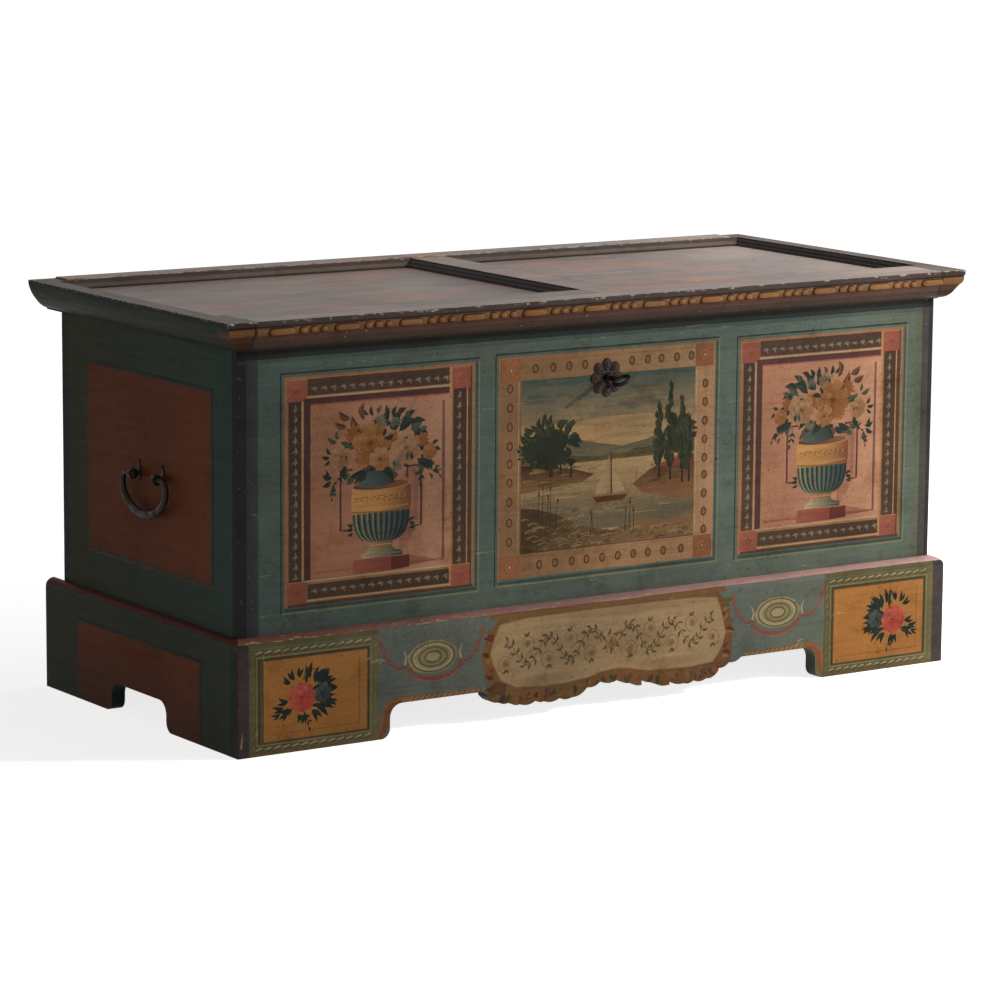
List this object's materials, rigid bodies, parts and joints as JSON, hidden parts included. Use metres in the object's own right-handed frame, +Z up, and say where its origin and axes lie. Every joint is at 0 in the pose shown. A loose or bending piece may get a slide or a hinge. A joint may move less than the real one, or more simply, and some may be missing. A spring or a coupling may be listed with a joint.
{
  "type": "painted wedding chest",
  "caption": "Painted softwood chest on a low base with sawn feet, hinged lid with sunk fields, lock with key, and a bail handle on each end.",
  "frame": {"origin": "on the floor, under the middle of the whole chest's bounding box", "axes": "+X to the chest's right seen from the front, +Y to its back, +Z up"},
  "size_m": [1.32, 0.611, 0.622],
  "materials": {
    "front_paint": "aged oil paint, blue-green with painted frames",
    "end_paint": "aged oil paint, dark green with a red-brown panel",
    "back_wood": "bare aged softwood",
    "inner_wood": "bare softwood",
    "base_front_paint": "aged oil paint, olive and ochre borders",
    "base_side_paint": "aged oil paint, red-brown",
    "lid_top_paint": "worn grey-brown paint",
    "lid_strip_paint": "worn dark paint",
    "lid_edge_paint": "gold-brown painted moulding",
    "lid_end_paint": "dark green paint",
    "rosette_iron": "embossed rusty iron",
    "lock_iron": "dark forged iron",
    "key_iron": "dark iron",
    "hinge_iron": "dark forged iron",
    "handle_iron": "dark forged iron"
  },
  "bodies": {
    "chest": {"base_front": "base_front_paint", "base_left": "base_side_paint", "base_right": "base_side_paint", "base_back": "back_wood", "base_blocks": "inner_wood", "base_ledgers": "inner_wood", "front_board": "front_paint", "back_board": "back_wood", "left_end": "end_paint", "right_end": "end_paint", "bottom_boards": "inner_wood", "rosette": "rosette_iron", "rosette_nails": "rosette_iron", "lock_case": "lock_iron", "lock_rivets": "lock_iron", "hinge_leaf_left": "hinge_iron", "hinge_leaf_right": "hinge_iron", "hinge_pin_left": "hinge_iron", "hinge_pin_right": "hinge_iron", "leaf_nails": "hinge_iron", "handle_plates_left": "handle_iron", "handle_plates_right": "handle_iron", "handle_eyes_left": "handle_iron", "handle_eyes_right": "handle_iron"},
    "lid": {"lid_boards": "lid_top_paint", "lid_cleat_left": "lid_end_paint", "lid_cleat_right": "lid_end_paint", "lid_front_moulding": "lid_edge_paint", "lid_front_member": "lid_top_paint", "lid_back_member": "lid_top_paint", "lid_middle_member": "lid_top_paint", "field_strips_left": "lid_strip_paint", "field_strips_right": "lid_strip_paint", "hinge_strap_left": "hinge_iron", "hinge_strap_right": "hinge_iron", "strap_nails": "hinge_iron", "lid_staple": "lock_iron", "staple_nails": "lock_iron"},
    "key": {"key": "key_iron"},
    "bolt": {"lock_bolt": "lock_iron"},
    "handle_left": {"handle_bail_left": "handle_iron"},
    "handle_right": {"handle_bail_right": "handle_iron"}
  },
  "joints": [
    {"name": "lid_hinge", "type": "hinge", "parent": "chest", "child": "lid", "pos_m": [0, 0.2735, 0.568], "axis": [-1, 0, 0], "range_deg": [0, 105]},
    {"name": "key_turn", "type": "hinge", "parent": "chest", "child": "key", "pos_m": [0.004, -0.22, 0.494], "axis": [0, 1, 0], "range_deg": [-90, 90]},
    {"name": "bolt_slide", "type": "slide", "parent": "chest", "child": "bolt", "axis": [1, 0, 0], "range_m": [-0.0096, 0.0096]},
    {"name": "left_handle_swing", "type": "hinge", "parent": "chest", "child": "handle_left", "pos_m": [-0.637, -0.0045, 0.365], "axis": [0, 1, 0], "range_deg": [-5, 165]},
    {"name": "right_handle_swing", "type": "hinge", "parent": "chest", "child": "handle_right", "pos_m": [0.637, -0.0045, 0.365], "axis": [0, -1, 0], "range_deg": [-5, 165]}
  ],
  "couplings": [
    {"joint": "bolt_slide", "follows": "key_turn", "m_per_rad": 0.0057295}
  ]
}
